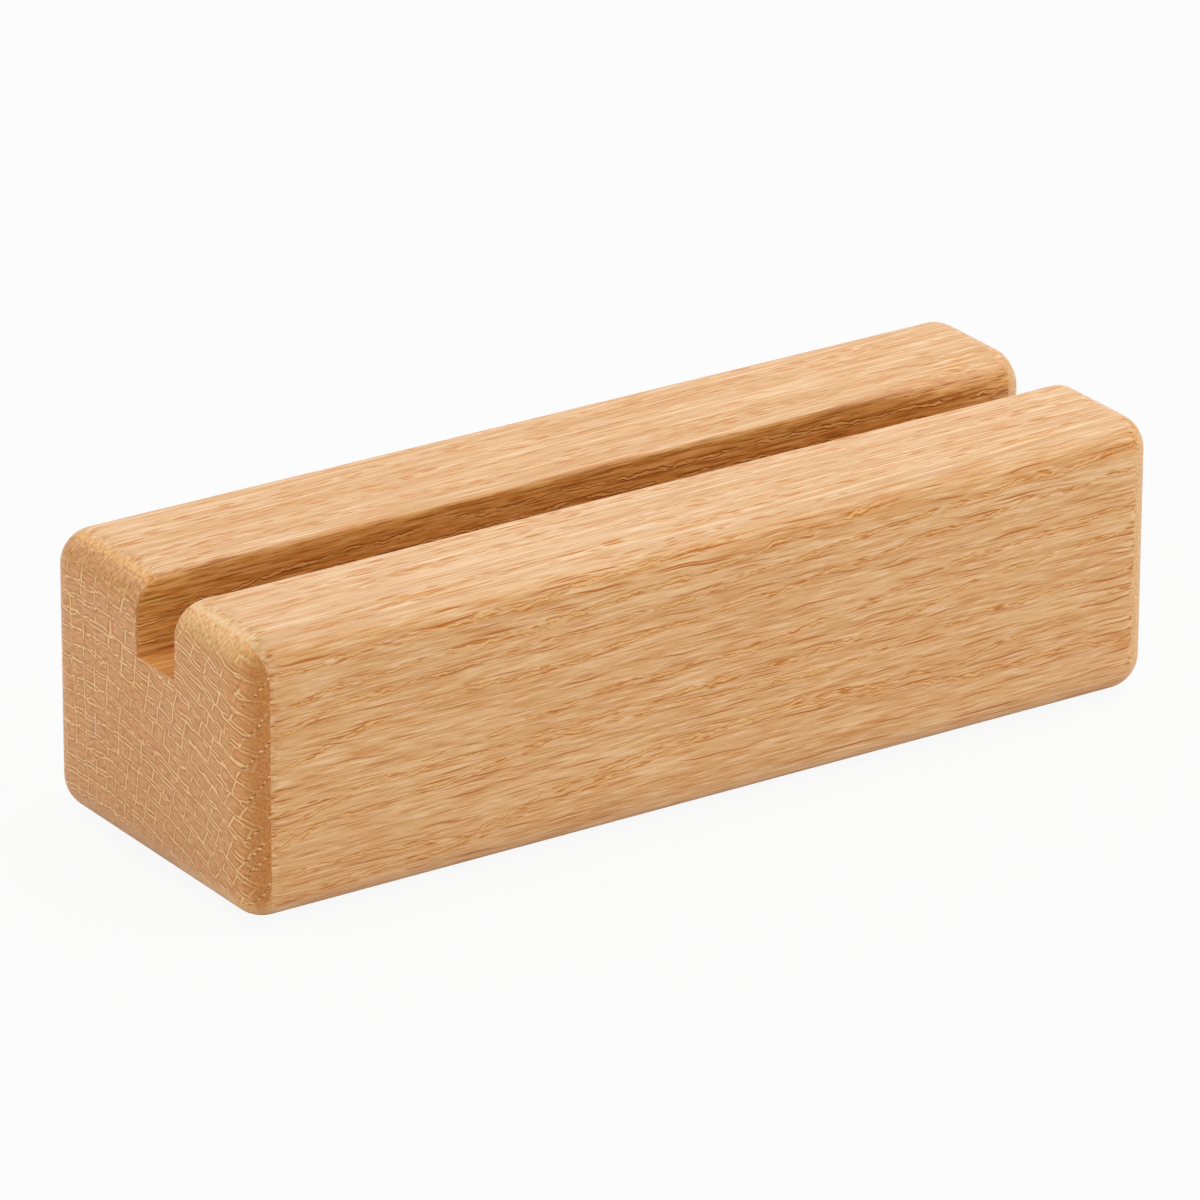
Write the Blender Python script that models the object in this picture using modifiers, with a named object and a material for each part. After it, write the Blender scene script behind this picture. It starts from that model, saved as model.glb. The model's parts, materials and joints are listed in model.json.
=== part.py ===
"""Recipe card stand: one solid oak block with a card slot milled along the whole of its top.

Units are metres and +Z is up. The block's length runs along X and its front faces -Y.
The origin is the middle of the underside, where the block stands on the table.
"""

import bmesh
import bpy
from mathutils import Matrix, Vector

# The block, and the round-over on all twelve of its outer edges.
BLOCK_LENGTH = 0.145
BLOCK_DEPTH = 0.050
BLOCK_HEIGHT = 0.040
EDGE_RADIUS = 0.005

# The card slot: its middle lies in front of the block's middle, and its two rims are eased.
SLOT_WIDTH = 0.0092
SLOT_DEPTH = 0.0108
SLOT_FORWARD = 0.0024
RIM_EASE = 0.0005

# How finely the round-over is divided, how far the cutter runs past the faces it opens, and the
# distance at which points of its outline's loose caps count as one.
EDGE_SEGMENTS = 8
CUTTER_OVERRUN = 0.010
WELD_DISTANCE = 0.000001

# Oiled oak, as a linear colour.
OAK_COLOUR = (0.70, 0.42, 0.18, 1.0)
OAK_ROUGHNESS = 0.45


def clear_scene():
    for old in list(bpy.data.objects):
        bpy.data.objects.remove(old, do_unlink=True)


def new_collection(name):
    collection = bpy.data.collections.new(name)
    bpy.context.scene.collection.children.link(collection)
    return collection


def oiled_oak():
    material = bpy.data.materials.new("oiled_oak")
    material.use_nodes = True
    shader = material.node_tree.nodes["Principled BSDF"]
    shader.inputs["Base Color"].default_value = OAK_COLOUR
    shader.inputs["Roughness"].default_value = OAK_ROUGHNESS
    shader.inputs["Metallic"].default_value = 0.0
    material.diffuse_color = OAK_COLOUR
    return material


def slot_outline():
    """The slot's section across the block, from the middle of its mouth: +X is back, +Y is up."""
    half = SLOT_WIDTH / 2
    flare = half + RIM_EASE + CUTTER_OVERRUN
    right = [(half, -SLOT_DEPTH), (half, -RIM_EASE), (flare, CUTTER_OVERRUN)]
    left = [(-across, up) for across, up in reversed(right)]
    return right + left


def curve_to_mesh(section, name, collection):
    """A closed mesh object in the place of a filled curve, with its loose caps welded."""
    depsgraph = bpy.context.evaluated_depsgraph_get()
    mesh = bpy.data.meshes.new_from_object(section.evaluated_get(depsgraph))
    welded = bmesh.new()
    welded.from_mesh(mesh)
    bmesh.ops.remove_doubles(welded, verts=welded.verts, dist=WELD_DISTANCE)
    bmesh.ops.recalc_face_normals(welded, faces=welded.faces)
    welded.to_mesh(mesh)
    welded.free()
    made = bpy.data.objects.new(name, mesh)
    made.matrix_world = section.matrix_world
    collection.objects.link(made)
    bpy.data.objects.remove(section, do_unlink=True)
    made.display_type = "WIRE"
    made.hide_render = True
    return made


def slot_cutter(collection):
    """The slot as a solid: its section as a filled outline, extruded past both ends of the block."""
    outline = slot_outline()
    curve = bpy.data.curves.new("slot_section", "CURVE")
    curve.dimensions = "2D"
    curve.fill_mode = "BOTH"
    curve.extrude = BLOCK_LENGTH / 2 + CUTTER_OVERRUN
    spline = curve.splines.new("POLY")
    spline.points.add(len(outline) - 1)
    for point, (across, up) in zip(spline.points, outline):
        point.co = (across, up, 0.0, 1.0)
    spline.use_cyclic_u = True
    spline.use_smooth = False

    section = bpy.data.objects.new("slot_section", curve)
    mouth = Matrix.Translation((0.0, -SLOT_FORWARD, BLOCK_HEIGHT))
    lengthways = Matrix(((0, 0, 1), (1, 0, 0), (0, 1, 0))).to_4x4()
    section.matrix_world = mouth @ lengthways
    collection.objects.link(section)
    return curve_to_mesh(section, "slot_cutter", collection)


def oak_block(collection, cutter):
    size = Vector((BLOCK_LENGTH, BLOCK_DEPTH, BLOCK_HEIGHT))
    bpy.ops.mesh.primitive_cube_add(size=1.0, location=(0.0, 0.0, BLOCK_HEIGHT / 2))
    block = bpy.context.active_object
    block.name = "oak_block"
    block.data.transform(Matrix.Diagonal(size.to_4d()))
    for holder in list(block.users_collection):
        holder.objects.unlink(block)
    collection.objects.link(block)
    block.data.materials.append(oiled_oak())
    block.data.shade_smooth()

    round_over = block.modifiers.new("round_over", "BEVEL")
    round_over.limit_method = "NONE"
    round_over.width = EDGE_RADIUS
    round_over.segments = EDGE_SEGMENTS
    round_over.harden_normals = True

    milled_slot = block.modifiers.new("milled_slot", "BOOLEAN")
    milled_slot.operation = "DIFFERENCE"
    milled_slot.solver = "EXACT"
    milled_slot.object = cutter
    return block


def main():
    clear_scene()
    parts = new_collection("recipe_card_stand")
    cutters = new_collection("recipe_card_stand_cutters")
    oak_block(parts, slot_cutter(cutters))


main()
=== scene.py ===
# %% [markdown]
# # A recipe card stand in oiled oak
# The real object is one short length of solid oak. Its edges are rounded over, and one slot is milled along
# the whole of its top to hold a card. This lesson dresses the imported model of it: one finely sanded block,
# one oak that shows end grain and long grain, a white floor, soft light and the photograph's camera.

import json
import math
from functools import partial

import bmesh
import bpy
from mathutils import Matrix, Vector


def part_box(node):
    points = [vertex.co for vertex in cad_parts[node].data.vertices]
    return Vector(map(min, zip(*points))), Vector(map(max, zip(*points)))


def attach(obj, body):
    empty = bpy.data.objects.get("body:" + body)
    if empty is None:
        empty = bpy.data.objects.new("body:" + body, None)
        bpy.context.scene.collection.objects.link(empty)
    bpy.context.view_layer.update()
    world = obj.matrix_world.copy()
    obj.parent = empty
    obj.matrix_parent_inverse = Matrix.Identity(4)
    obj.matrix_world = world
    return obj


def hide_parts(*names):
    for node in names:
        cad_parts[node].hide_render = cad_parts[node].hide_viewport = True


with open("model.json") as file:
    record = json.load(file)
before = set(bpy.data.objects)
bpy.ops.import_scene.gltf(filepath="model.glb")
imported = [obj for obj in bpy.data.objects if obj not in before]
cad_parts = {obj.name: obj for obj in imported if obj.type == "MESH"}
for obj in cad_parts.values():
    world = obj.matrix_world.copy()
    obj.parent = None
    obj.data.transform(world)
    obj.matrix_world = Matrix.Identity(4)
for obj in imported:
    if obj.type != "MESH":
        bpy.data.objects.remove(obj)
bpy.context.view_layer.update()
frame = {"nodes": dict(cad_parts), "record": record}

# %% [markdown]
# ## Measure before making
# A joiner measures the stock before cutting it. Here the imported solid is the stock: its box gives the
# length, depth and height, the points on the slot's floor give the two walls, and the flat on top, which
# stops where the round-over starts, gives its radius. Nothing is typed twice, so the dressed block follows
# the solid.

# %% Take the driving sizes from the frame
MM = 0.001
TINY = 1e-5
low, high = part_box("oak_block")
middle = (low + high) / 2
length, depth, height = high - low
mounts = {mount["name"]: mount for mount in frame["record"]["mounts"]}
floor_z = mounts["slot_floor"]["pos_m"][2]
solid_points = [vertex.co for vertex in frame["nodes"]["oak_block"].data.vertices]
floor_points = [point for point in solid_points if abs(point.z - floor_z) < TINY]
front_wall = min(point.y for point in floor_points)
back_wall = max(point.y for point in floor_points)
edge_radius = high.y - max(point.y for point in solid_points if point.z > high.z - TINY)
print("block, mm:", [round(size / MM, 2) for size in (length, depth, height)])
print("slot walls and floor, mm:", [round(size / MM, 2) for size in (front_wall, back_wall, floor_z)])
print("round-over, mm:", round(edge_radius / MM, 2))

# %% [markdown]
# ## The planed and rounded block
# The blank is planed square, then every outer edge is run over a rounding cutter. The same two moves make
# it here: a cube scaled to size, and one bevel of all its edges. Twelve steps on a 5 mm radius leave facets
# of about 0.65 mm, too small to see. Cutting the flats once more just inside each round-over keeps the
# smooth shading of the curve from leaking on to the flat beside it.

# %% Round the blank
ROUND_STEPS = 12
SHADING_STRIP = 0.4 * MM
BOTH_SIDES = (1, -1)


def cut(bm, point, normal, where=None):
    """Cut the faces whose middle passes the test along one plane."""
    faces = [face for face in bm.faces if where is None or where(face.calc_center_median())]
    edges = {edge for face in faces for edge in face.edges}
    verts = {vert for face in faces for vert in face.verts}
    bmesh.ops.bisect_plane(
        bm, geom=[*verts, *edges, *faces], dist=1e-7, plane_co=point, plane_no=normal
    )


def rounded_blank():
    """A cube of the block's size with all its edges rounded over."""
    bm = bmesh.new()
    bmesh.ops.create_cube(bm, size=1.0)
    bmesh.ops.scale(bm, vec=(length, depth, height), verts=bm.verts)
    bmesh.ops.translate(bm, vec=middle, verts=bm.verts)
    bmesh.ops.bevel(
        bm, geom=bm.edges[:], offset=edge_radius, offset_type="OFFSET", affect="EDGES",
        segments=ROUND_STEPS, profile=0.5, material=-1,
    )
    return bm


def keep_flats_flat(bm):
    """Cut each flat just inside its round-overs, so that its shading stays flat."""
    for axis, size in enumerate((length, depth, height)):
        normal = [float(axis == other) for other in range(3)]
        reach = size / 2 - edge_radius - SHADING_STRIP
        for side in BOTH_SIDES:
            place = middle.copy()
            place[axis] += side * reach
            cut(bm, place, normal)


block = rounded_blank()
keep_flats_flat(block)
print("rounded blank:", len(block.faces), "faces")

# %% [markdown]
# ## The milled slot
# A straight cutter is run along the top from end to end, so the slot has square inner corners and the end
# round-overs show in its rims. A Boolean could do it, but it leaves a tangle of faces along the rims, which
# have to be sanded next. So the faces are cut along the two walls and the floor line, the waste is deleted,
# and the floor and the walls are filled in as three clean faces.

# %% Mill the slot
walls = (front_wall, back_wall)


def between_walls(point):
    """True over the slot, between its two walls."""
    return front_wall < point.y < back_wall


def above_floor(point):
    """True higher than the slot's floor."""
    return point.z > floor_z + TINY


def floor_corner(bm, x, wall):
    """The vertex where a wall meets the floor at one end."""
    place = Vector((x, wall, floor_z))
    return min(bm.verts, key=lambda vert: (vert.co - place).length)


def mill_slot(bm):
    """Take out the slot's waste and close the floor and the two walls."""
    for wall in walls:
        cut(bm, (0, wall, 0), (0, 1, 0))
    cut(bm, (0, 0, floor_z), (0, 0, 1), between_walls)
    middles = [(face, face.calc_center_median()) for face in bm.faces]
    waste = [face for face, place in middles if between_walls(place) and above_floor(place)]
    bmesh.ops.delete(bm, geom=waste, context="FACES")
    for wall in walls:
        bm.edges.new([floor_corner(bm, x, wall) for x in (low.x, high.x)])
    floor_edges = [
        edge for edge in bm.edges
        if not edge.is_manifold and all(abs(vert.co.z - floor_z) < TINY for vert in edge.verts)
    ]
    bmesh.ops.contextual_create(bm, geom=floor_edges)
    open_edges = [edge for edge in bm.edges if edge.is_boundary]
    bmesh.ops.holes_fill(bm, edges=open_edges, sides=0)


mill_slot(block)
print("open edges after milling:", sum(not edge.is_manifold for edge in block.edges))

# %% [markdown]
# ## Sand the rims by hand
# A machine leaves the slot's rims sharp, and a hand with sandpaper eases them, never quite evenly. In the
# photograph they are crisp along most of the slot, both are softer at the near end, and the back rail's
# inner corner at the far end is rubbed quite round. A bevel has one width, so the rims get a fan of narrow
# cuts instead, and each point near a rim is pushed on to an arc whose radius changes along the way.

# %% Cut the rims into narrow strips
RIM_STRIPS_MM = (0.1, 0.2, 0.32, 0.46, 0.62, 0.8, 1.05, 1.35, 1.75, 2.3, 3.0, 4.0, 5.2, 6.6, 8.2)
RIM_STRIPS = [strip * MM for strip in RIM_STRIPS_MM]
SLICE = 4.0 * MM
END_LEVELS = 5
rail_side = {front_wall: -1, back_wall: 1}


def on_wall(point):
    """True for a point on either slot wall."""
    return above_floor(point) and any(abs(point.y - wall) < TINY for wall in walls)


def on_rail(point):
    """True for a point on the outside of a rail, over the floor's level."""
    return above_floor(point) and not on_wall(point)


def on_end(point):
    """True for a point on either flat end."""
    return abs(point.x) > high.x - TINY


def on_rail_end(point):
    """True for a point on the flat end of a rail."""
    return on_rail(point) and on_end(point)


def slice_rims(bm):
    """Cut the rails into slices along the block and into strips beside the rims."""
    cut(bm, (0, 0, floor_z), (0, 0, 1), on_end)
    flat_half = high.x - edge_radius
    slices = int(flat_half / SLICE)
    for step in range(-slices, slices + 1):
        cut(bm, (step * SLICE, 0, 0), (1, 0, 0))
    for strip in RIM_STRIPS:
        for wall in walls:
            cut(bm, (0, wall + rail_side[wall] * strip, 0), (0, 1, 0), on_rail)
        cut(bm, (0, 0, high.z - strip), (0, 0, 1), on_wall)
    for step in range(ROUND_STEPS):
        reach = flat_half + edge_radius * math.sin(math.pi / 2 * step / ROUND_STEPS)
        for side in BOTH_SIDES:
            cut(bm, (side * reach, 0, 0), (1, 0, 0), on_wall)
    for step in range(1, END_LEVELS):
        level = floor_z + (high.z - edge_radius - floor_z) * step / END_LEVELS
        cut(bm, (0, 0, level), (0, 0, 1), on_rail_end)
        cut(bm, (0, 0, level), (0, 0, 1), on_wall)


slice_rims(block)
print("sliced block:", len(block.faces), "faces")

# %% [markdown]
# ## How round each rim is
# The radius is a value that fades along the block, from -1 at the near end to 1 at the far end. Where a rim
# turns down over an end it fades into the upright edge at the slot's mouth, and it dies out at the slot's
# floor, whose corners stay square.

# %% Give each place of a rim its radius
CRISP_RIM = 0.8 * MM
CRISP_END = 0.35 * MM
NEAR_FRONT_RIM = 1.6 * MM
NEAR_BACK_RIM = 2.2 * MM
FAR_BACK_RIM = 5.5 * MM
FAR_BACK_END = 7.9 * MM
NEAR_FRONT_FADE = (-1.0, 0.6)
NEAR_BACK_FADE = (-0.97, -0.84)
FAR_BACK_FADE = (0.55, 0.95)
TURN_FADE = (0.2, 0.6)
TURN_DEPTH = 10.0 * MM
FADE_DEPTH = 2.5 * MM


def smooth_step(value, start, stop):
    """0 before start, 1 after stop, with an easy curve between them."""
    share = min(max((value - start) / (stop - start), 0.0), 1.0)
    return share * share * (3 - 2 * share)


def blend(first, second, share):
    """A value on the way from first to second."""
    return first + (second - first) * share


def rim_radius(wall, x, z):
    """The radius that the sandpaper left at this place of a rim."""
    along = x / high.x
    if wall == back_wall:
        near = blend(NEAR_BACK_RIM, CRISP_RIM, smooth_step(along, *NEAR_BACK_FADE))
        over = blend(near, FAR_BACK_RIM, smooth_step(along, *FAR_BACK_FADE))
        end = FAR_BACK_END if x > 0 else CRISP_END
    else:
        over = blend(NEAR_FRONT_RIM, CRISP_RIM, smooth_step(along, *NEAR_FRONT_FADE))
        end = CRISP_END
    out = max(abs(x) - (high.x - TURN_DEPTH), 0.0)
    up = max(z - (high.z - TURN_DEPTH), 0.0)
    turn = math.atan2(out, up) / (math.pi / 2) if out + up > 0 else 0.0
    radius = blend(over, end, smooth_step(turn, *TURN_FADE))
    return radius * smooth_step(z, floor_z, floor_z + FADE_DEPTH)


print("largest rim radius, mm:", round(rim_radius(back_wall, high.x, high.z - edge_radius) / MM, 2))

# %% [markdown]
# ## Push the rims on to their arcs
# A point near a rim lies some way inside the rail and some way inside the block's outline. Both ways
# together are pulled on to a circle of the rim's radius. A point further in than the radius, on either way,
# stays put.

# %% Sand the rims


def side_outline(x, z):
    """How far a point lies inside the block's outline, seen from the front, and which way is further in."""
    side = math.copysign(1.0, x)
    out = abs(x) - (high.x - edge_radius)
    up = z - (high.z - edge_radius)
    if out > 0 and up > 0:
        reach = math.hypot(out, up)
        return edge_radius - reach, Vector((-side * out / reach, 0, -up / reach))
    if up > out:
        return edge_radius - up, Vector((0, 0, -1))
    return edge_radius - out, Vector((-side, 0, 0))


def sand_vertex(vert, wall):
    """Move one vertex on to the rim's arc if it lies within its radius, and say whether it moved."""
    into_rail = rail_side[wall] * (vert.co.y - wall)
    into_block, inward = side_outline(vert.co.x, vert.co.z)
    radius = rim_radius(wall, vert.co.x, vert.co.z)
    if into_rail < -TINY or into_rail >= radius or into_block >= radius:
        return False
    rail_way = radius - into_rail
    block_way = radius - into_block
    pull = radius / math.hypot(rail_way, block_way)
    vert.co.y = wall + rail_side[wall] * (radius - rail_way * pull)
    vert.co += inward * (radius - block_way * pull - into_block)
    return True


def sand_rims(bm):
    """Ease both rims, their ends and the upright edges at the slot's mouths, and count the moved points."""
    moved = 0
    for wall in walls:
        for vert in bm.verts:
            if above_floor(vert.co):
                moved += sand_vertex(vert, wall)
    return moved


print("points sanded:", sand_rims(block))

# %% [markdown]
# ## From bmesh to object
# Smooth shading hides the small facets, but it would also smear the slot's square inner corners. Those
# edges are marked sharp by their angle. The mesh keeps its place in its own points, and the object stays at
# the origin, so that patterns on object coordinates stay put.

# %% Make the sanded block an object
SHARP_ANGLE = math.radians(40)


def finish_mesh(bm, name):
    """Shade smooth, mark the sharp edges, and hand the mesh to a new object."""
    bmesh.ops.recalc_face_normals(bm, faces=bm.faces)
    for face in bm.faces:
        face.smooth = True
    for edge in bm.edges:
        edge.smooth = edge.calc_face_angle(0.0) < SHARP_ANGLE
    mesh = bpy.data.meshes.new(name)
    bm.to_mesh(mesh)
    bm.free()
    piece = bpy.data.objects.new(name, mesh)
    bpy.context.scene.collection.objects.link(piece)
    return piece


sanded_block = finish_mesh(block, "sanded_oak_block")
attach(sanded_block, "root")
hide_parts("oak_block")
print("sanded block:", len(sanded_block.data.polygons), "faces")

# %% [markdown]
# ## One way to add a node
# Every material below is a graph of nodes. Typing each node, setting and link by hand gets long, so one
# small function adds a node of any kind, sets it up, fills or links its inputs and gives back one output.

# %% A node helper and a colour helper


def add_node(tree, kind, inputs=None, out=0, **settings):
    """Add one node, set its properties, fill or link its inputs, and return one output."""
    made = tree.nodes.new("ShaderNode" + kind)
    for name, value in settings.items():
        setattr(made, name, value)
    for key, value in (inputs or {}).items():
        if isinstance(value, bpy.types.NodeSocket):
            tree.links.new(value, made.inputs[key])
        else:
            made.inputs[key].default_value = value
    return made.outputs[out] if made.outputs else made


def linear(hex_colour):
    """An sRGB hex colour as the linear RGBA that Blender's sockets hold."""
    parts = [int(hex_colour[digit:digit + 2], 16) / 255 for digit in (1, 3, 5)]
    light = [part / 12.92 if part <= 0.04045 else ((part + 0.055) / 1.055) ** 2.4 for part in parts]
    return [*light, 1.0]


def new_material(name):
    """A material with an empty node tree."""
    material = bpy.data.materials.new(name)
    material.use_nodes = True
    material.node_tree.nodes.clear()
    return material


print("honey oak in linear light:", [round(part, 3) for part in linear("#d9a367")])

# %% [markdown]
# ## Oak: place and direction
# This is solid oak, planed, sanded and oiled: a honey brown with a soft sheen. Oak is a bundle of tubes
# along the tree, so it looks different on each side. Across the tubes, on the two ends, there are rings and
# rays; along them there are fibres, dark pores and chains of larger pores. So the material first asks where
# a point is, in millimetres, and which way the surface faces. Both are in the block's own frame, so nothing
# slides.

# %% Read the place and the direction
FACTOR, PLAIN_A, PLAIN_B, COLOUR_A, COLOUR_B = 0, 2, 3, 6, 7
MIXED = 2
VALUE, START, STOP, TO_LOW, TO_HIGH = 0, 1, 2, 3, 4
EASED = {"interpolation_type": "SMOOTHSTEP"}
COLOURS = {"out": MIXED, "data_type": "RGBA"}

oak = new_material("oiled_oak_sanded")
grain = oak.node_tree
wood = partial(add_node, grain)  # adds a node to the oak's own tree
place = wood("TexCoord", out="Object")
place_mm = wood("VectorMath", {0: place, "Scale": 1 / MM}, operation="SCALE")
x_mm, y_mm, z_mm = wood("SeparateXYZ", {0: place_mm}).node.outputs
facing = place.node.outputs["Normal"]
facing_either = wood("VectorMath", {0: facing}, operation="ABSOLUTE")
to_end, to_side, to_top = wood("SeparateXYZ", {0: facing_either}).node.outputs
to_far_end = wood("SeparateXYZ", {0: facing}, out="X")
on_top = wood("MapRange", {VALUE: to_top, START: 0.6, STOP: 0.85}, **EASED)
near_end = wood("Math", {0: to_far_end, 1: 0.0}, operation="LESS_THAN")
print("oak reads", [socket.name for socket in place.node.outputs if socket.is_linked])

# %% [markdown]
# ## Oak: streaks and layers
# Three helpers do most of the painting. Noise stretched along the block makes streaks of a length and a
# width in millimetres. Steps of colour turn a value into a tint. A layer puts one colour over another where
# a mask says so, as a glaze goes over a ground. On the top the streaks lean a little, because the blank was
# not sawn quite along the tree.

# %% Streaks, colour steps and layers
TOP_LEAN = 0.03
leaned = wood("Math", {0: x_mm, 1: -TOP_LEAN, 2: y_mm}, operation="MULTIPLY_ADD")
fibre_place = wood("CombineXYZ", {"X": x_mm, "Y": leaned, "Z": z_mm})


def streaks(long, wide, detail=2.0, shift=0.0):
    """Soft streaks along the grain, about so long and so wide in millimetres."""
    size = (1 / long, 1 / wide, 1 / wide)
    stretched = wood("Mapping", {"Vector": fibre_place, "Location": (shift, shift, shift), "Scale": size})
    return wood("TexNoise", {"Vector": stretched, "Scale": 1.0, "Detail": detail})


def colour_steps(value, steps):
    """Colours at given places of a value, blended between them."""
    blended = wood("ValToRGB", {0: value})
    ramp = blended.node.color_ramp.elements
    while len(ramp) < len(steps):
        ramp.new(0.5)
    for stop, (position, colour) in zip(ramp, steps):
        stop.position = position
        stop.color = linear(colour)
    return blended


def lay_over(under, over, mask, strength=1.0):
    """Lay one colour over another, as strongly as a mask says."""
    share = wood("Math", {0: mask, 1: strength}, operation="MULTIPLY")
    return wood("Mix", {FACTOR: share, COLOUR_A: under, COLOUR_B: over}, **COLOURS)


print("the top's streaks lean", round(TOP_LEAN * length / MM, 2), "mm over the block")

# %% [markdown]
# ## Oak: fibres
# Sawn along the tree, the fibres show as fine streaks: short hairs on the sides, longer and wider ones on
# the top, and soft bands where the wood is denser. The hairs are a little darker or paler than the soft
# tones under them. The front rail's top is a touch paler than the back rail's, as in the photograph.

# %% Draw the fibres
SIDE_TONES = [(0.36, "#d59c61"), (0.5, "#dea96f"), (0.64, "#e7b67f")]
TOP_TONES = [(0.36, "#cc985f"), (0.5, "#d5a570"), (0.64, "#deb282")]
SIDE_CONTRAST = 0.57
TOP_CONTRAST = 0.5


def fibre_colour(soft, hair, dark, pale, contrast):
    """Soft tones with darker and paler hairs on them."""
    dark_hair = {VALUE: hair, START: 0.48, STOP: 0.35, TO_HIGH: contrast}
    pale_hair = {VALUE: hair, START: 0.53, STOP: 0.65, TO_HIGH: contrast}
    haired = lay_over(soft, linear(dark), wood("MapRange", dark_hair, **EASED))
    return lay_over(haired, linear(pale), wood("MapRange", pale_hair, **EASED))


long_fibre = streaks(26.0, 0.9, 2.0, 5.0)
wide_band = streaks(60.0, 3.2, 2.0, 9.0)
tone = wood("Mix", {FACTOR: 0.45, PLAIN_A: long_fibre, PLAIN_B: wide_band})
side_hair = streaks(6.5, 0.24, 3.0)
top_hair = streaks(14.0, 0.36, 3.0, 1.0)
front_rail = wood("Math", {0: y_mm, 1: front_wall / MM + 0.5}, operation="LESS_THAN")
side_soft = colour_steps(tone, SIDE_TONES)
top_soft = lay_over(colour_steps(tone, TOP_TONES), linear("#eccba4"), front_rail, 0.16)
side_grain = fibre_colour(side_soft, side_hair, "#c4781c", "#f2d0a4", SIDE_CONTRAST)
top_grain = fibre_colour(top_soft, top_hair, "#c4780e", "#f6dcb4", TOP_CONTRAST)
long_grain = lay_over(side_grain, top_grain, on_top)
hair = wood("Mix", {FACTOR: on_top, PLAIN_A: side_hair, PLAIN_B: top_hair})
print("fibre colours:", SIDE_TONES, TOP_TONES)

# %% [markdown]
# ## Oak: pores
# Between the fibres lie open tubes. The saw cuts them at a flat angle, so each shows as a dark, thin dash
# along the grain, 3 to 15 mm long. A Voronoi pattern scatters one point in each stretched cell, and the
# wood is dark near it, within a reach that differs from cell to cell. Grain is never ruled straight, so the
# place is swayed first, and only along the surface, because a sway into the wood would cut the dashes
# short.

# %% Let the grain sway
SWAY_REACH = 0.3
sway = streaks(9.0, 3.0, 1.0, 2.0)
swing = {VALUE: sway, START: 0.3, STOP: 0.7, TO_LOW: -SWAY_REACH, TO_HIGH: SWAY_REACH}
sway_mm = wood("MapRange", swing)
on_sides = wood("Math", {0: 1.0, 1: on_top}, operation="SUBTRACT")
sway_across = wood("Math", {0: sway_mm, 1: on_top}, operation="MULTIPLY")
sway_high = wood("Math", {0: sway_mm, 1: on_sides}, operation="MULTIPLY")
sway_both = wood("CombineXYZ", {"Y": sway_across, "Z": sway_high})
swayed = wood("VectorMath", {0: place_mm, 1: sway_both}, operation="ADD")
_, y_swayed, z_swayed = wood("SeparateXYZ", {0: swayed}).node.outputs
print("the grain sways by up to", SWAY_REACH, "mm")

# %% Cut the pores open
PORE_CELL = (17.0, 0.42)
PORE_REACH = (0.09, 0.45)


def pore_dashes(cell, reach, shift):
    """Scatter dashes, one in each cell so long and so wide, and say how deep inside one a point lies."""
    size = (1 / cell[0], 1 / cell[1], 1 / cell[1])
    cells = wood("Mapping", {"Vector": swayed, "Location": (shift, shift, shift), "Scale": size})
    gap = wood("TexVoronoi", {"Vector": cells, "Scale": 1.0}, out="Distance")
    luck = gap.node.outputs["Color"]
    own_reach = wood(
        "MapRange", {VALUE: luck, START: 0.25, STOP: 0.75, TO_LOW: reach[0], TO_HIGH: reach[1]}
    )
    depth_share = wood("Math", {0: gap, 1: own_reach}, operation="DIVIDE")
    return wood("MapRange", {VALUE: depth_share, START: 1.0, STOP: 0.45}, **EASED)


pores = pore_dashes(PORE_CELL, PORE_REACH, 0.0)
pore_strength = wood("MapRange", {VALUE: on_top, TO_LOW: 0.95, TO_HIGH: 0.7})
pore_colour = lay_over(linear("#b86400"), linear("#d08400"), on_top)
long_grain = lay_over(long_grain, pore_colour, pores, pore_strength)
print("pores: one in every", PORE_CELL, "mm")

# %% [markdown]
# ## Oak: chains on the sides
# In spring an oak grows one row of wide tubes. On the front these rows show as chains that climb slowly
# from the near end to the far end. Each chain is a list of places along the block and heights, in
# millimetres. The walls of the slot lie deeper in the wood, so they have chains of their own. A
# vector-curve node holds three curves, so it gives three chains' heights at once, and the least distance to
# any of them is all that the paint needs.

# %% List the chains
SIDE_CHAINS = [
    [(-72.5, 29.8), (-69, 35), (-50, 35.6), (-42, 36.2), (-30, 36), (-20, 36.9), (-6, 37.5), (20, 38.8),
     (45, 40), (72.5, 40)],
    [(-72.5, 25.2), (-69, 30.4), (-58, 31.3), (-42, 32.4), (-28, 32.6), (-15, 33.9), (0, 34.6), (14, 36),
     (45, 40), (72.5, 40)],
    [(-72.5, 21.2), (-69, 26.4), (-56, 29.2), (-35, 29.9), (-12, 30.8), (5, 32.1), (24, 34), (46, 35.4),
     (72.5, 37)],
    [(-72.5, 16.2), (-69, 21.4), (-56, 24.5), (-44, 26.5), (-22, 26.3), (-8, 28), (10, 28.8), (40, 32),
     (72.5, 34)],
    [(-72.5, 8), (-69, 13.2), (-55, 16.3), (-36, 18.9), (-20, 21), (5, 21.7), (22, 23.1), (40, 26.6),
     (54, 27.3), (72.5, 28.6)],
    [(-72.5, 10.8), (-69, 16), (-52, 16.4), (-24, 17.4), (8, 18.4), (26, 19.4), (42, 22.8), (56, 24.2),
     (72.5, 24.8)],
    [(-72.5, 5.6), (-69, 10.8), (-60, 13), (-40, 14), (-24, 16.5), (-5, 16.4), (20, 16), (45, 18.4),
     (72.5, 19.6)],
    [(-72.5, 1), (-69, 6.2), (-55, 7.5), (-40, 5.6), (-25, 9), (-8, 11.2), (14, 12.2), (40, 11.5),
     (54, 14.2), (72.5, 16.6)],
    [(-72.5, 0), (-69, 3), (-42, 4.6), (-15, 9), (6, 12.2), (40, 9.4), (54, 9.6), (72.5, 8.5)],
]
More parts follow.
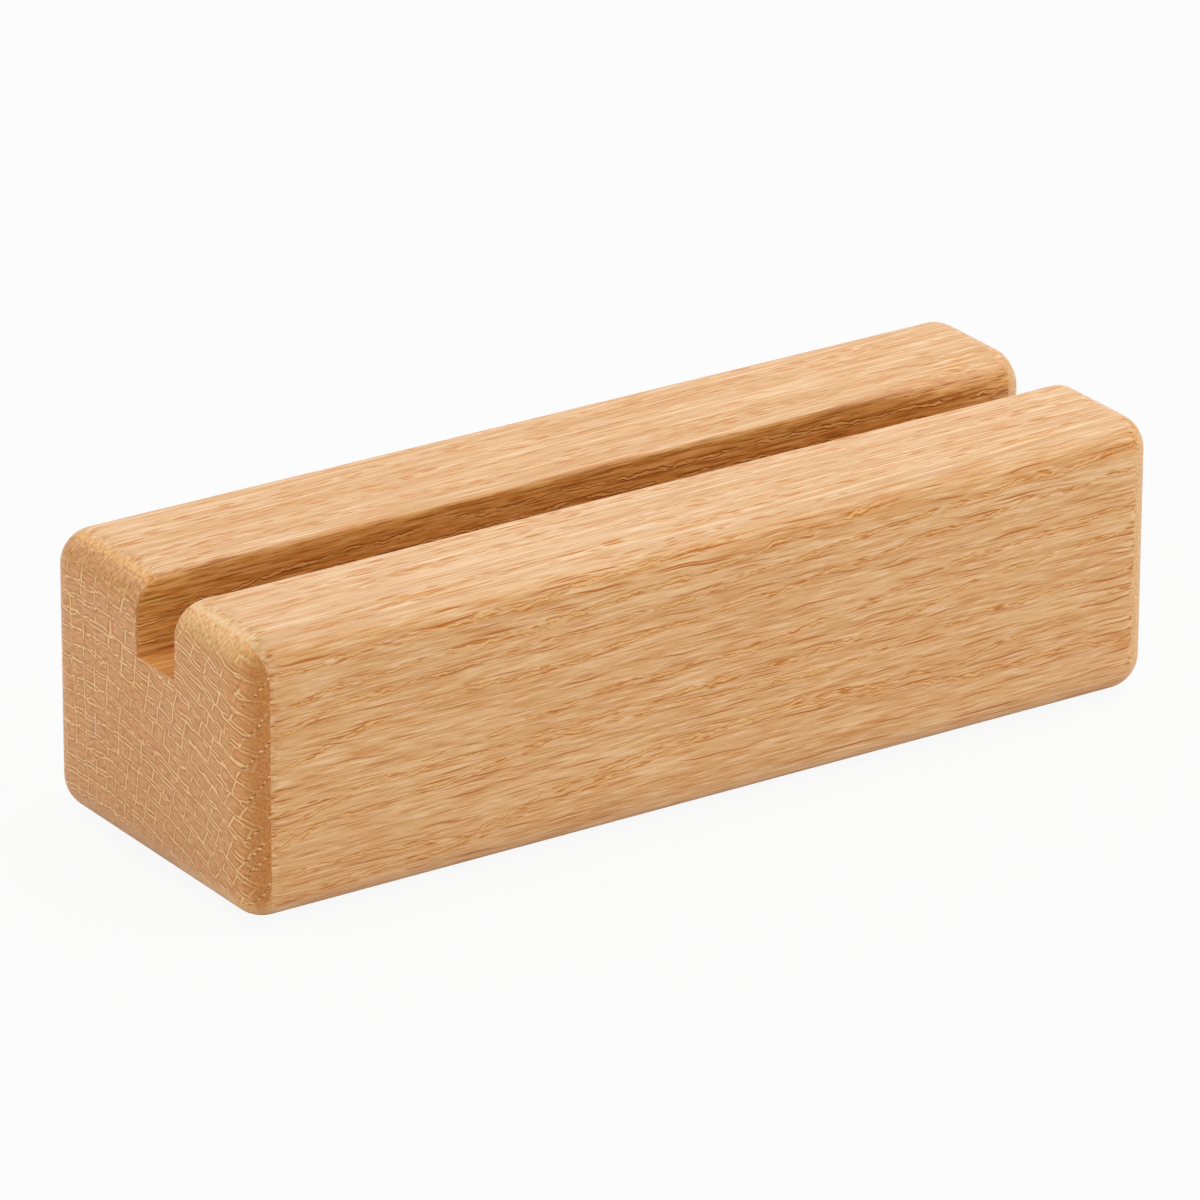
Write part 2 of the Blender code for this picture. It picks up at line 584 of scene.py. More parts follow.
WALL_CHAINS = [
    [(-72.5, 34.4), (-44, 36.3), (-32, 37.2), (-21, 37.4), (14, 37.4), (40, 37.2), (72.5, 36)],
    [(-72.5, 33.2), (-60, 33.6), (-46, 34.6), (0, 35.6), (72.5, 34.6)],
    [(-72.5, 30.6), (-50, 31.4), (0, 32.6), (72.5, 33.5)],
]
print("chains:", len(SIDE_CHAINS), "on the sides and", len(WALL_CHAINS), "on the slot's walls")

# %% Measure the way to the nearest chain
HALF_LENGTH = length / 2 / MM
HALF_HEIGHT = height / 2 / MM
CURVES_IN_NODE = 3


def draw_chain(curve, chain):
    """Run a curve through a chain's points, with straight pieces between them."""
    knots = [(along / HALF_LENGTH, level / HALF_HEIGHT - 1) for along, level in chain]
    curve.points[0].location = knots[0]
    curve.points[1].location = knots[-1]
    for knot in knots[1:-1]:
        curve.points.new(*knot)
    for point in curve.points:
        point.handle_type = "VECTOR"


def three_gaps(chains, along, level):
    """A vector of the distances to three chains, in half heights."""
    levels = wood("VectorCurve", {"Vector": along})
    for curve, chain in zip(levels.node.mapping.curves, chains):
        draw_chain(curve, chain)
    levels.node.mapping.update()
    apart = wood("VectorMath", {0: level, 1: levels}, operation="SUBTRACT")
    return wood("VectorMath", {0: apart}, operation="ABSOLUTE")


def nearest_chain(chains, along, level):
    """The distance to the nearest of some chains, in millimetres."""
    nearest = three_gaps(chains[:CURVES_IN_NODE], along, level)
    for first in range(CURVES_IN_NODE, len(chains), CURVES_IN_NODE):
        gaps = three_gaps(chains[first:first + CURVES_IN_NODE], along, level)
        nearest = wood("VectorMath", {0: nearest, 1: gaps}, operation="MINIMUM")
    one, two, three = wood("SeparateXYZ", {0: nearest}).node.outputs
    less = wood("Math", {0: one, 1: two}, operation="MINIMUM")
    least = wood("Math", {0: less, 1: three}, operation="MINIMUM")
    return wood("Math", {0: least, 1: HALF_HEIGHT}, operation="MULTIPLY")


print("chains are drawn over", round(2 * HALF_LENGTH), "x", round(2 * HALF_HEIGHT), "mm")

# %% [markdown]
# ## Oak: strands and beads
# Seen close, a chain is two thin strands that wander and cross, each with a pale golden core and orange
# edges, and short dark beads between them. So the way to the nearest chain is measured from two heights
# that stray from the true one, and the lesser is kept. The chains fade out towards the top.

# %% Let two strands wander along each chain
OUTSIDE_FROM = 12.0
STRAND_LOOP = 1.8
STRAND_REACH = 0.24
along = wood("Math", {0: x_mm, 1: HALF_LENGTH}, operation="DIVIDE")
from_centre = wood("Math", {0: y_mm}, operation="ABSOLUTE")
on_outside = wood("Math", {0: from_centre, 1: OUTSIDE_FROM}, operation="GREATER_THAN")


def chain_gap_at(height_mm):
    """The distance to the nearest chain from a height, on the outside or on the slot's walls."""
    level = wood("MapRange", {VALUE: height_mm, STOP: 2 * HALF_HEIGHT, TO_LOW: -1.0, TO_HIGH: 1.0})
    side_gap = nearest_chain(SIDE_CHAINS, along, level)
    wall_gap = nearest_chain(WALL_CHAINS, along, level)
    return wood("Mix", {FACTOR: on_outside, PLAIN_A: wall_gap, PLAIN_B: side_gap})


def wandering(shift):
    """How far a strand strays from its chain, in millimetres."""
    wander = streaks(STRAND_LOOP, 6.0, 1.5, shift)
    stray = {VALUE: wander, START: 0.3, STOP: 0.7, TO_LOW: -STRAND_REACH, TO_HIGH: STRAND_REACH}
    return wood("MapRange", stray)


above = wood("Math", {0: z_swayed, 1: wandering(11.0)}, operation="ADD")
below = wood("Math", {0: z_swayed, 1: wandering(19.0)}, operation="SUBTRACT")
gap_above = chain_gap_at(above)
gap_below = chain_gap_at(below)
chain_gap = wood("Math", {0: gap_above, 1: gap_below}, operation="MINIMUM")
print("strands stray by up to", STRAND_REACH, "mm")

# %% Colour the strands and the beads between them
BEAD_CELL = (3.6, 0.42)
BEAD_REACH = (0.14, 0.5)
STRAND_EDGE = (0.3, 0.18)
STRAND_CORE = (0.15, 0.07)
BEAD_ZONE = (0.62, 0.32)
off_top = wood("MapRange", {VALUE: to_top, START: 0.75, STOP: 0.4}, **EASED)
shine = streaks(3.6, 0.8, 1.0, 13.0)
strand_kept = wood("MapRange", {VALUE: shine, START: 0.42, STOP: 0.52}, **EASED)
strand_kept = wood("Math", {0: strand_kept, 1: off_top}, operation="MULTIPLY")
core_strength = wood("MapRange", {VALUE: on_outside, TO_LOW: 1.0, TO_HIGH: 0.66})
core_kept = wood("Math", {0: strand_kept, 1: core_strength}, operation="MULTIPLY")
edge_span = {VALUE: chain_gap, START: STRAND_EDGE[0], STOP: STRAND_EDGE[1], TO_HIGH: 0.9}
core_span = {VALUE: chain_gap, START: STRAND_CORE[0], STOP: STRAND_CORE[1]}
bead_span = {VALUE: chain_gap, START: BEAD_ZONE[0], STOP: BEAD_ZONE[1], TO_HIGH: 0.95}
chain_edge = wood("MapRange", edge_span, **EASED)
chain_core = wood("MapRange", core_span, **EASED)
bead_here = wood("MapRange", bead_span, **EASED)
bead_here = wood("Math", {0: bead_here, 1: off_top}, operation="MULTIPLY")
beads = pore_dashes(BEAD_CELL, BEAD_REACH, 31.0)
long_grain = lay_over(long_grain, linear("#c27006"), chain_edge, strand_kept)
long_grain = lay_over(long_grain, linear("#f4ca88"), chain_core, core_kept)
long_grain = lay_over(long_grain, linear("#c26e00"), beads, bead_here)
print("a strand is", 2 * STRAND_EDGE[0], "mm wide and its core", 2 * STRAND_CORE[0], "mm")

# %% [markdown]
# ## Oak: lines along the top
# The top was sawn the other way through the same tree, so its spring rows run straight along the block.
# They show as lines of small orange ticks. A ramp over the width says where the main lines lie, long
# streaks add looser ones between them, and a finer scatter of pores draws the ticks on both.

# %% Lay the lines along the top
TOP_LINES = [-19.0, -16.6, -13.7, -11.8, -8.8, 3.2, 7.2, 11.0, 14.4, 17.5]
LINE_HALF = 0.7
TICK_CELL = (4.2, 0.38)
TICK_REACH = (0.24, 0.56)
half_depth = depth / 2 / MM
across = wood("MapRange", {VALUE: y_swayed, START: -half_depth, STOP: half_depth})
line_steps = []
for line in TOP_LINES:
    for step, colour in ((-LINE_HALF, "#000000"), (0.0, "#ffffff"), (LINE_HALF, "#000000")):
        line_steps.append(((line + step) / half_depth / 2 + 0.5, colour))
top_line = colour_steps(across, line_steps)
loose_line = streaks(70.0, 1.3, 1.0, 15.0)
loose_line = wood("MapRange", {VALUE: loose_line, START: 0.4, STOP: 0.53}, **EASED)
any_line = wood("Math", {0: top_line, 1: loose_line}, operation="MAXIMUM")
line_on_top = wood("Math", {0: any_line, 1: on_top}, operation="MULTIPLY")
ticks = pore_dashes(TICK_CELL, TICK_REACH, 4.0)
long_grain = lay_over(long_grain, linear("#c47400"), ticks, line_on_top)
print("lines along the top:", len(TOP_LINES))

# %% [markdown]
# ## Oak: rings and rays
# The two ends cut straight across the tubes. Growth rings show there as arcs about a pith well below the
# block, and rays cross them, so that an end looks like a fine net of pale lines on a duller brown. Polar
# coordinates about the pith turn the arcs into rows: a line at each row, and cross lines that shift from
# row to row towards the front, as bricks do. A little wobble of the place keeps the net from looking ruled.

# %% Turn the end into rows about the pith
PITH = (0.0, 13.0, -55.0)
RING_STEP = 2.3
RAY_STEP = 2.8
RAY_RADIUS = 75.0
WOBBLE_SIZE = 3.6
WOBBLE_REACH = 1.25
wobble = wood("TexNoise", {"Vector": place_mm, "Scale": 1 / WOBBLE_SIZE, "Detail": 1.2}, out="Color")
wobble = wood("VectorMath", {0: wobble, 1: (0.5, 0.5, 0.5)}, operation="SUBTRACT")
wobble = wood("VectorMath", {0: wobble, "Scale": WOBBLE_REACH}, operation="SCALE")
wobbled = wood("VectorMath", {0: place_mm, 1: wobble}, operation="ADD")
from_pith = wood("VectorMath", {0: wobbled, 1: PITH}, operation="SUBTRACT")
_, pith_y, pith_z = wood("SeparateXYZ", {0: from_pith}).node.outputs
flat_pith = wood("CombineXYZ", {"Y": pith_y, "Z": pith_z})
pith_gap = wood("VectorMath", {0: flat_pith}, out="Value", operation="LENGTH")
angle = wood("Math", {0: pith_y, 1: pith_z}, operation="ARCTAN2")
ring_place = wood("Math", {0: pith_gap, 1: RING_STEP}, operation="DIVIDE")
ring_row = wood("Math", {0: ring_place}, operation="FLOOR")
row_luck = wood("TexWhiteNoise", {"W": ring_row}, noise_dimensions="1D")
stagger = wood("MapRange", {VALUE: y_mm, START: 12.0, STOP: -6.0, TO_LOW: 0.15, TO_HIGH: 1.0})
row_shift = wood("Math", {0: row_luck, 1: stagger}, operation="MULTIPLY")
ray_place = wood("Math", {0: angle, 1: RAY_RADIUS / RAY_STEP, 2: row_shift}, operation="MULTIPLY_ADD")
print("rings", RING_STEP, "mm apart, rays", RAY_STEP, "mm apart")

# %% [markdown]
# ## Oak: broken and doubled lines
# No line of the net runs all the way. Towards the back the rings break into beads, towards the front into
# longer pieces, and the rays come and go between them. In places a ring is double, where two rows of tubes
# lie side by side. Noise of a few sizes decides where.

# %% Break and double the lines
RING_SPLIT = 0.3
BEAD_SIZE, BREAK_SIZE, DOUBLE_SIZE = 0.6, 1.6, 5.0
front_share = wood("MapRange", {VALUE: y_mm, START: 8.0, STOP: -6.0}, **EASED)
net_break = wood("TexNoise", {"Vector": place_mm, "Scale": 1 / BREAK_SIZE, "Detail": 1.0})
bead_break = wood("TexNoise", {"Vector": place_mm, "Scale": 1 / BEAD_SIZE, "Detail": 1.0})
bead_kept = wood("MapRange", {VALUE: bead_break, START: 0.4, STOP: 0.5}, **EASED)
line_kept = wood("MapRange", {VALUE: net_break, START: 0.34, STOP: 0.46}, **EASED)
ring_kept = wood("Mix", {FACTOR: front_share, PLAIN_A: bead_kept, PLAIN_B: line_kept})
ray_kept = wood("MapRange", {VALUE: net_break, START: 0.57, STOP: 0.48}, **EASED)
doubled = wood("TexNoise", {"Vector": place_mm, "Scale": 1 / DOUBLE_SIZE, "Detail": 1.0})
split = wood(
    "MapRange", {VALUE: doubled, START: 0.44, STOP: 0.54, TO_HIGH: RING_SPLIT / RING_STEP}, **EASED
)
ring_gap = wood("Math", {0: ring_place, 1: 0.5}, operation="PINGPONG")
ring_gap = wood("Math", {0: ring_gap, 1: split}, operation="SUBTRACT")
ring_gap = wood("Math", {0: ring_gap}, operation="ABSOLUTE")
ray_gap = wood("Math", {0: ray_place, 1: 0.5}, operation="PINGPONG")
print("double rings lie", 2 * RING_SPLIT, "mm apart")

# %% [markdown]
# ## Oak: the net on the ends
# Under the net lie the cut tubes. They are too small to see, so they are drawn as short streaks along the
# rings, as coarse as they need to show. The net goes over them twice: a wider one in orange brown, which
# stays as a soft edge, and a thin pale one on it. A few pale specks are tubes that the oil filled.

# %% Weave the net of rings and rays
LINE_THICK = 0.29
EDGE_THICK = 2.2 * LINE_THICK
TUBE_LONG, TUBE_WIDE = 1.4, 0.28
SPECK_CELL = (1.3, 1.3)
SPECK_REACH = (0.04, 0.2)
END_COLOURS = [(0.36, "#d08c4a"), (0.64, "#f2b072")]


def net_of(thick):
    """Rings and rays of one thickness, each broken in places of its own."""
    ring_reach = 0.8 * thick / RING_STEP
    ray_reach = 0.8 * thick / RAY_STEP
    rings = wood("MapRange", {VALUE: ring_gap, START: ring_reach, STOP: ring_reach / 4}, **EASED)
    rays = wood("MapRange", {VALUE: ray_gap, START: ray_reach, STOP: ray_reach / 4}, **EASED)
    rings = wood("Math", {0: rings, 1: ring_kept}, operation="MULTIPLY")
    rays = wood("Math", {0: rays, 1: ray_kept}, operation="MULTIPLY")
    return wood("Math", {0: rings, 1: rays}, operation="MAXIMUM")


net = net_of(LINE_THICK)
net_edge = net_of(EDGE_THICK)
tube_run = wood("Math", {0: angle, 1: RAY_RADIUS / TUBE_LONG}, operation="MULTIPLY")
tube_rise = wood("Math", {0: pith_gap, 1: TUBE_WIDE}, operation="DIVIDE")
tube_place = wood("CombineXYZ", {"X": tube_run, "Y": tube_rise})
cut_tubes = wood("TexNoise", {"Vector": tube_place, "Scale": 1.0, "Detail": 2.0})
specks = pore_dashes(SPECK_CELL, SPECK_REACH, 51.0)
end_grain = colour_steps(cut_tubes, END_COLOURS)
end_grain = lay_over(end_grain, linear("#b05800"), net_edge, 0.72)
end_grain = lay_over(end_grain, linear("#ffcf8c"), net)
end_grain = lay_over(end_grain, linear("#ffdba8"), specks, 0.7)
print("net lines are", LINE_THICK, "mm thick, with edges of", round(EDGE_THICK, 2), "mm")

# %% [markdown]
# ## Oak: where the long grain starts
# On the rounded corners the cut turns from across the tubes to along them. The change is a clear line, not
# a blend, and how far the surface has turned towards the end says where it lies. On the top corners it is a
# little ragged, because single fibres reach across it.

# %% Find the line between the two grains
RAGGED_REACH = 0.018
edge_line = wood("MapRange", {VALUE: to_top, TO_LOW: 0.29, TO_HIGH: 0.6})
past_line = wood("Math", {0: to_end, 1: edge_line}, operation="SUBTRACT")
ragged = wood(
    "MapRange", {VALUE: top_hair, START: 0.3, STOP: 0.7, TO_LOW: -RAGGED_REACH, TO_HIGH: RAGGED_REACH}
)
ragged = wood("Math", {0: ragged, 1: to_top}, operation="MULTIPLY")
past_line = wood("Math", {0: past_line, 1: ragged}, operation="ADD")
is_end = wood("MapRange", {VALUE: past_line, START: -0.01, STOP: 0.015}, **EASED)
print("the line is ragged by", RAGGED_REACH, "of the turn")

# %% [markdown]
# ## Oak: bands on the corners
# Along the top corners of the near end lies a finely hatched band with brown flecks, its pale tones partly a
# painted highlight, palest on the front rail. Down the near end's upright corners the band is orange. At
# the far end both bands are calmer, and paler with painted sheen. A mask for each band comes from the way
# the surface faces.

# %% Paint the corner bands, with their painted highlight and sheen
HATCH_SIZE = (1 / 0.7, 1 / 0.24, 1 / 0.7)
FLECK_CELL = (1.1, 0.6)
FLECK_REACH = (0.1, 0.46)
FLECK_STRENGTH = 0.7
TUBE_DOT = 0.3
top_band = wood("MapRange", {VALUE: to_top, START: 0.1, STOP: 0.5, TO_HIGH: 0.72}, **EASED)
side_band = wood("MapRange", {VALUE: to_side, START: 0.35, STOP: 0.9, TO_HIGH: 0.9}, **EASED)
hatched = wood("VectorMath", {0: place_mm, 1: HATCH_SIZE}, operation="MULTIPLY")
hatch = wood("TexNoise", {"Vector": hatched, "Scale": 1.0, "Detail": 3.0})
# the pale tones of the near hatches are partly painted highlight, the far hatch's paleness painted sheen
back_hatch = colour_steps(hatch, [(0.37, "#c27e3a"), (0.63, "#f6ba78")])
front_hatch = colour_steps(hatch, [(0.37, "#eca65c"), (0.63, "#ffd696")])
far_hatch_sheen = colour_steps(hatch, [(0.35, "#cc9a62"), (0.65, "#e6ba8a")])
near_hatch_and_highlight = lay_over(back_hatch, front_hatch, front_rail)
end_grain = lay_over(end_grain, lay_over(far_hatch_sheen, near_hatch_and_highlight, near_end), top_band)
flecks_here = wood("Math", {0: top_band, 1: near_end}, operation="MULTIPLY")
flecks_here = wood("Math", {0: flecks_here, 1: FLECK_STRENGTH}, operation="MULTIPLY")
flecks = pore_dashes(FLECK_CELL, FLECK_REACH, 61.0)
end_grain = lay_over(end_grain, linear("#a85a08"), flecks, flecks_here)
tube_dots = wood("TexNoise", {"Vector": place_mm, "Scale": 1 / TUBE_DOT, "Detail": 2.0})
near_colour = colour_steps(tube_dots, [(0.35, "#b0681a"), (0.65, "#d0893e")])
# painted sheen: the far end's upright band is pale
far_band_sheen = colour_steps(tube_dots, [(0.35, "#c9924e"), (0.65, "#eac08a")])
end_grain = lay_over(end_grain, lay_over(far_band_sheen, near_colour, near_end), side_band)
print("flecks: one in every", FLECK_CELL, "mm")

# %% [markdown]
# ## Oak: dots on the near corner
# Where a chain comes round from the front to the near end, its tubes are cut straight across and show as a
# slanting row of round dots, dark and pale in turn. Each dot is a circle drawn from the way to the chain
# and from steps up the block.

# %% Dot the chains on the near corner
DOT_STEP = 0.72
DOT_SIZE = (0.2, 0.1)
dot_place = wood("Math", {0: z_mm, 1: DOT_STEP}, operation="DIVIDE")
dark_turn = wood("Math", {0: dot_place, 1: 0.5}, operation="PINGPONG")
pale_turn = wood("Math", {0: 0.5, 1: dark_turn}, operation="SUBTRACT")


def dot_of(turn):
    """Round dots along the chains, where a count of steps turns back."""
    step_mm = wood("Math", {0: turn, 1: DOT_STEP}, operation="MULTIPLY")
    from_dot = wood("CombineXYZ", {"X": step_mm, "Y": chain_gap})
    dot_gap = wood("VectorMath", {0: from_dot}, out="Value", operation="LENGTH")
    return wood("MapRange", {VALUE: dot_gap, START: DOT_SIZE[0], STOP: DOT_SIZE[1]}, **EASED)


dots_here = wood("MapRange", {VALUE: to_side, START: 0.35, STOP: 0.6}, **EASED)
dots_here = wood("Math", {0: dots_here, 1: bead_kept}, operation="MULTIPLY")
dots_here = wood("Math", {0: dots_here, 1: near_end}, operation="MULTIPLY")
end_grain = lay_over(end_grain, linear("#8f561a"), dot_of(dark_turn), dots_here)
end_grain = lay_over(end_grain, linear("#f2c68c"), dot_of(pale_turn), dots_here)
print("dots every", DOT_STEP, "mm")

# %% [markdown]
# ## Oak: join the two grains
# Just before the line, on the near top corners, the long grain gets a painted highlight: golden on the back
# rail, cream on the front one. Then the two grains meet at the line.

# %% Paint the corner highlight and join the two grains
# painted highlight where the near top corners turn towards the end
turned = wood("MapRange", {VALUE: to_end, START: 0.2, STOP: 0.52, TO_HIGH: 0.6}, **EASED)
rim_highlight_mask = wood("Math", {0: turned, 1: on_top}, operation="MULTIPLY")
rim_highlight_mask = wood("Math", {0: rim_highlight_mask, 1: near_end}, operation="MULTIPLY")
back_rim_highlight = colour_steps(top_hair, [(0.38, "#e49838"), (0.62, "#ffc66c")])
front_rim_highlight = colour_steps(top_hair, [(0.38, "#fcc684"), (0.62, "#ffe0aa")])
rim_highlight = lay_over(back_rim_highlight, front_rim_highlight, front_rail)
long_grain = lay_over(long_grain, rim_highlight, rim_highlight_mask)
colour = lay_over(long_grain, end_grain, is_end)
print("oak nodes so far:", len(grain.nodes))

# %% [markdown]
# ## Oak: the slot
# Inside the slot the colour is painted a deeper orange, with dark streaks: painted shade in the recess.
# The floor is found by its place between the walls, and the walls by the way they face; the ends stay out
# of it.

# %% Find the slot
slot_middle = (front_wall + back_wall) / 2 / MM
slot_half = (back_wall - front_wall) / 2 / MM
slot_level = floor_z / MM
off_middle = wood("Math", {0: y_mm, 1: slot_middle}, operation="SUBTRACT")
off_middle = wood("Math", {0: off_middle}, operation="ABSOLUTE")
in_width = wood("Math", {0: off_middle, 1: slot_half}, operation="LESS_THAN")
low_down = wood("Math", {0: z_mm, 1: slot_level + 1.0}, operation="LESS_THAN")
slot_floor = wood("Math", {0: in_width, 1: low_down}, operation="MULTIPLY")
upright = wood("MapRange", {VALUE: to_side, START: 0.4, STOP: 0.85}, **EASED)
inside = wood("Math", {0: 1.0, 1: on_outside}, operation="SUBTRACT")
slot_wall = wood("Math", {0: upright, 1: inside}, operation="MULTIPLY")
in_slot = wood("Math", {0: slot_floor, 1: slot_wall}, operation="MAXIMUM")
over_floor = wood("Math", {0: z_mm, 1: slot_level - 0.1}, operation="GREATER_THAN")
in_slot = wood("Math", {0: in_slot, 1: over_floor}, operation="MULTIPLY")
not_end = wood("Math", {0: 1.0, 1: is_end}, operation="SUBTRACT")
in_slot = wood("Math", {0: in_slot, 1: not_end}, operation="MULTIPLY")
print("slot, mm:", [round(size, 2) for size in (slot_middle, slot_half, slot_level)])

# %% Paint shade into the slot
# painted shade: the colour inside the slot is multiplied by this darker, oranger tint
slot_shade_tint = lay_over(linear("#f5e8b8"), linear("#ffe8b8"), on_top)
oiled = {FACTOR: in_slot, COLOUR_A: colour, COLOUR_B: slot_shade_tint}
colour = wood("Mix", oiled, blend_type="MULTIPLY", **COLOURS)
# painted shade: dark streaks laid only inside the slot
deep_slot_shade = streaks(22.0, 0.7, 2.0, 21.0)
deep_slot_shade = wood("MapRange", {VALUE: deep_slot_shade, START: 0.5, STOP: 0.66, TO_HIGH: 0.45}, **EASED)
colour = lay_over(colour, linear("#a05606"), deep_slot_shade, in_slot)
wall_hair = streaks(9.0, 0.3, 3.0, 27.0)
dark_line = wood("MapRange", {VALUE: wall_hair, START: 0.47, STOP: 0.36, TO_HIGH: 0.62}, **EASED)
pale_line = wood("MapRange", {VALUE: wall_hair, START: 0.54, STOP: 0.66, TO_HIGH: 0.6}, **EASED)
colour = lay_over(colour, linear("#8c4a06"), dark_line, in_slot)
colour = lay_over(colour, linear("#f0bc78"), pale_line, in_slot)
wall_strand = wood("Math", {0: strand_kept, 1: in_slot}, operation="MULTIPLY")
colour = lay_over(colour, linear("#7a3e04"), chain_edge, wall_strand)
colour = lay_over(colour, linear("#e6b266"), chain_core, wall_strand)
print("oak nodes so far:", len(grain.nodes))

# %% [markdown]
# ## Oak: the surface
# Sanding leaves the surface half matt, a little smoother on the dark hairs. The pores are pits and the net
# stands proud by some hundredths of a millimetre, far too little to model, so a bump tilts the shading
# instead. It changes softly over the line between the grains, because a sudden step would show as a groove.

# %% Finish the oak
RELIEF_DEPTH = 0.05 * MM
PIT_SHARE = 0.2
soft_end = wood("MapRange", {VALUE: past_line, START: -0.12, STOP: 0.12}, **EASED)
dug = wood("Mix", {FACTOR: soft_end, PLAIN_A: pores, PLAIN_B: 0.0})
dug = wood("Math", {0: dug, 1: PIT_SHARE}, operation="MULTIPLY")
net_raised = wood("MapRange", {VALUE: net, TO_LOW: 0.5, TO_HIGH: 0.9})
raised = wood("Mix", {FACTOR: soft_end, PLAIN_A: hair, PLAIN_B: net_raised})
relief = wood("Math", {0: raised, 1: dug}, operation="SUBTRACT")
bumped = wood("Bump", {"Strength": 0.35, "Distance": RELIEF_DEPTH, "Height": relief})
rough = wood("MapRange", {VALUE: hair, START: 0.3, STOP: 0.7, TO_LOW: 0.38, TO_HIGH: 0.48})
shader = wood("BsdfPrincipled", {"Base Color": colour, "Roughness": rough, "IOR": 1.47, "Normal": bumped})
wood("OutputMaterial", {"Surface": shader})
sanded_block.data.materials.append(oak)
print("oak nodes:", len(grain.nodes))

# %% [markdown]
# ## The floor
# The photograph stands on plain white. White paper under even light nearly gives that by itself, but with a
# grey shadow. So part of the paper's white is its own glow, seen by the camera and by mirror rays, and a
# soft shadow still ties the block to the ground. Under the block mirror rays see no glow, because the paper
# is in the shade there. The sheet lies a hair below the block, so that no two faces share a plane.

# %% Make the white paper
FLOOR_GLOW = 0.92
SHADE_DEPTH = 3.0 * MM
paper = new_material("white_paper_sweep")
sheet = paper.node_tree
ray = sheet.nodes.new("ShaderNodeLightPath")
paper_place = add_node(sheet, "TexCoord", out="Object")
aside = add_node(sheet, "VectorMath", {0: paper_place}, operation="ABSOLUTE")
half_block = (length / 2, depth / 2, 0.0)
from_edge = add_node(sheet, "VectorMath", {0: aside, 1: half_block}, operation="SUBTRACT")
past_x, past_y, _ = add_node(sheet, "SeparateXYZ", {0: from_edge}).node.outputs
past_edge = add_node(sheet, "Math", {0: past_x, 1: past_y}, operation="MAXIMUM")
open_floor = add_node(sheet, "MapRange", {VALUE: past_edge, START: -SHADE_DEPTH, STOP: 0.0})
mirrored = add_node(sheet, "Math", {0: ray.outputs["Is Glossy Ray"], 1: open_floor}, operation="MULTIPLY")
seen = add_node(sheet, "Math", {0: ray.outputs["Is Camera Ray"], 1: mirrored}, operation="MAXIMUM")
matt = add_node(sheet, "BsdfDiffuse", {"Color": linear("#e8e8e8")})
dim = add_node(sheet, "BsdfDiffuse", {"Color": linear("#3c3c3c")})
glow = add_node(sheet, "Emission", {"Color": linear("#ffffff"), "Strength": FLOOR_GLOW})
bright = add_node(sheet, "AddShader", {0: dim, 1: glow})
surface = add_node(sheet, "MixShader", {0: seen, 1: matt, 2: bright})
add_node(sheet, "OutputMaterial", {"Surface": surface})
print("paper nodes:", len(sheet.nodes))

# %% Lay the floor
FLOOR_HALF = 3.0
FLOOR_DROP = 0.05 * MM
ground = bmesh.new()
bmesh.ops.create_grid(ground, x_segments=1, y_segments=1, size=FLOOR_HALF)
bmesh.ops.translate(ground, vec=(0, 0, low.z - FLOOR_DROP), verts=ground.verts)
floor = finish_mesh(ground, "floor")
floor.data.materials.append(paper)
print("floor:", 2 * FLOOR_HALF, "m wide")

# %% [markdown]
# ## Soft light
# The photograph was lit by a white tent: no hard shadow, the top a little brighter than the front. An even
# white world gives the base of that. Four large softboxes give the shapes some direction: one overhead, two
# behind, which draw the sheen along the top, and a weak one that fills the front.

# %% Light the tent
WORLD_LIGHT = 0.42
world = bpy.data.worlds.new("white_tent")
bpy.context.scene.world = world
world.use_nodes = True
world.node_tree.nodes.clear()
sky = world.node_tree
sky_ray = sky.nodes.new("ShaderNodeLightPath")
sky_light = add_node(sky, "Background", {"Color": linear("#ffffff"), "Strength": WORLD_LIGHT})
sky_seen = add_node(sky, "Background", {"Color": linear("#ffffff"), "Strength": 1.0})
sky_mix = add_node(sky, "MixShader", {0: sky_ray.outputs["Is Camera Ray"], 1: sky_light, 2: sky_seen})
add_node(sky, "OutputWorld", {"Surface": sky_mix})
print("world light:", WORLD_LIGHT)

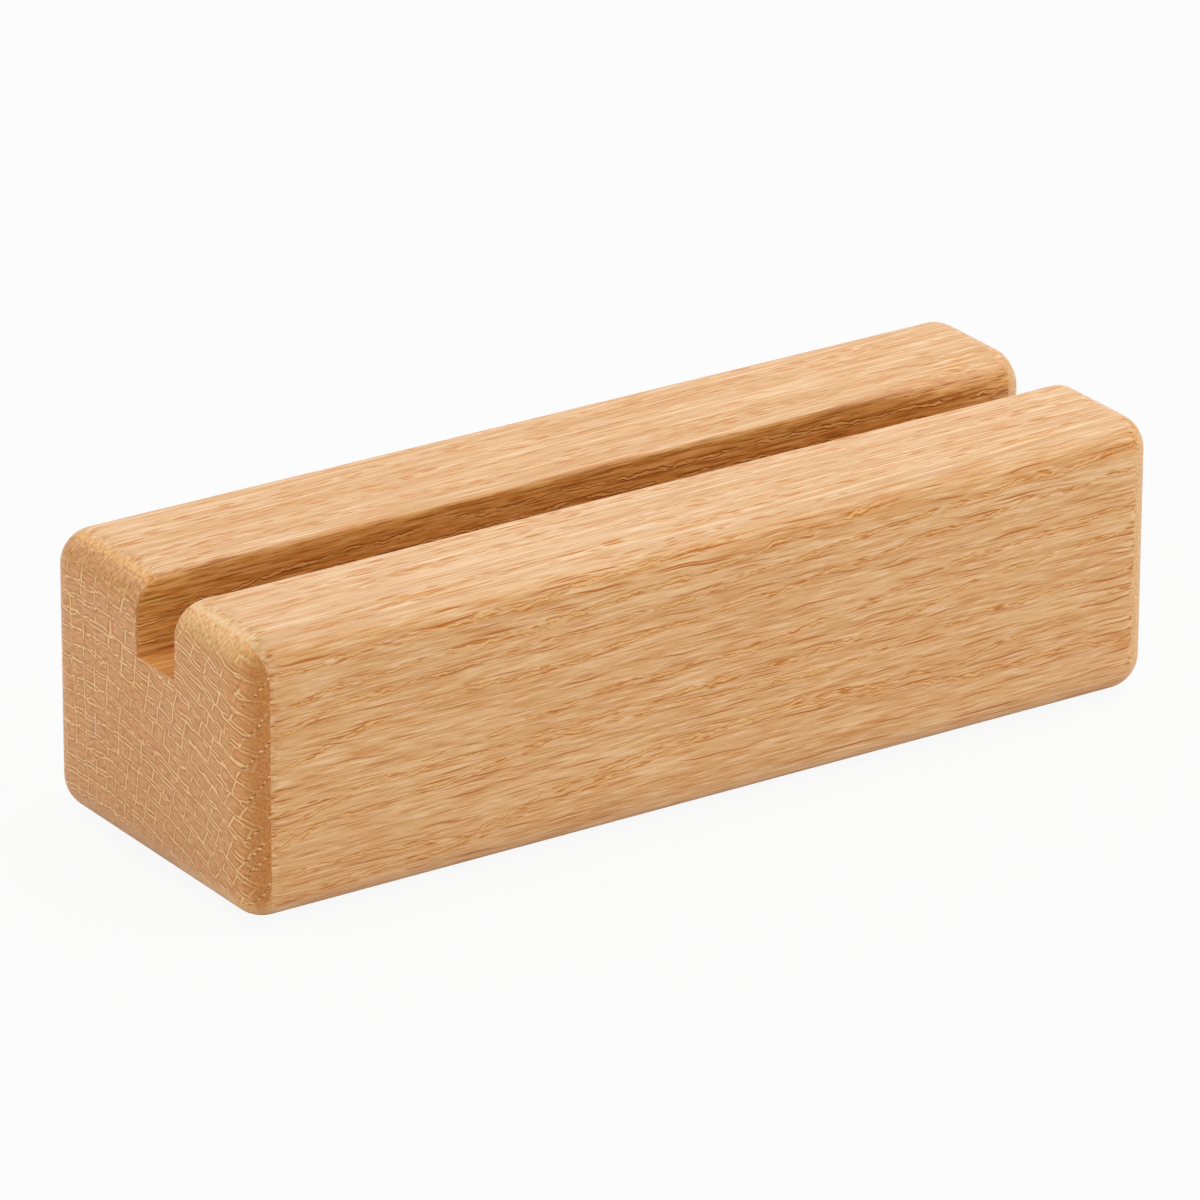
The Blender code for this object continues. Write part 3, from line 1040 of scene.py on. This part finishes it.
# %% Hang the softboxes
SOFTBOXES = [
    ("overhead_softbox", (0.6, -0.2, 1.0), 1.2, 11.0),
    ("back_right_softbox", (0.7, 1.0, 0.55), 1.2, 3.2),
    ("back_left_softbox", (-0.35, 0.8, 0.85), 1.2, 5.0),
    ("front_fill", (-0.3, -1.1, 0.15), 1.0, 3.0),
]
for name, position, size, power in SOFTBOXES:
    lamp = bpy.data.lights.new(name, "AREA")
    lamp.shape = "SQUARE"
    lamp.size = size
    lamp.energy = power
    softbox = bpy.data.objects.new(name, lamp)
    softbox.location = position
    softbox.rotation_euler = (middle - Vector(position)).to_track_quat("-Z", "Y").to_euler()
    bpy.context.scene.collection.objects.link(softbox)
print("softboxes:", [name for name, *_ in SOFTBOXES])

# %% [markdown]
# ## The camera
# The block's outline and the slot's lines were matched to the photograph, which gave a long lens from well
# back, turned about 34 degrees to the left and looking down about 23 degrees.

# %% Place the camera
AZIMUTH = math.radians(-33.909)
ELEVATION = math.radians(22.760)
ROLL = math.radians(0.2347)
DISTANCE = 1.29192
ASIDE = -1.278 * MM
RAISE = 1.126 * MM
LENS = 289.446
SENSOR = 36.0

level_back = Vector((math.sin(AZIMUTH), -math.cos(AZIMUTH), 0))
back = level_back * math.cos(ELEVATION) + Vector((0, 0, math.sin(ELEVATION)))
right = Vector((0, 0, 1)).cross(back).normalized()
up = back.cross(right)
right_rolled = right * math.cos(ROLL) + up * math.sin(ROLL)
up_rolled = up * math.cos(ROLL) - right * math.sin(ROLL)
camera_data = bpy.data.cameras.new("photo_camera")
camera_data.lens = LENS
camera_data.sensor_width = SENSOR
camera = bpy.data.objects.new("photo_camera", camera_data)
eye = middle + back * DISTANCE + right_rolled * ASIDE + up_rolled * RAISE
turn = Matrix((right_rolled, up_rolled, back)).transposed()
camera.matrix_world = Matrix.Translation(eye) @ turn.to_4x4()
bpy.context.scene.collection.objects.link(camera)
bpy.context.scene.camera = camera
print("camera stands", round((eye - middle).length, 3), "m from the block")

# %% [markdown]
# ## The view
# The plain Standard view shows colours as they were written.

# %% Show colours as written
bpy.context.scene.view_settings.view_transform = "Standard"
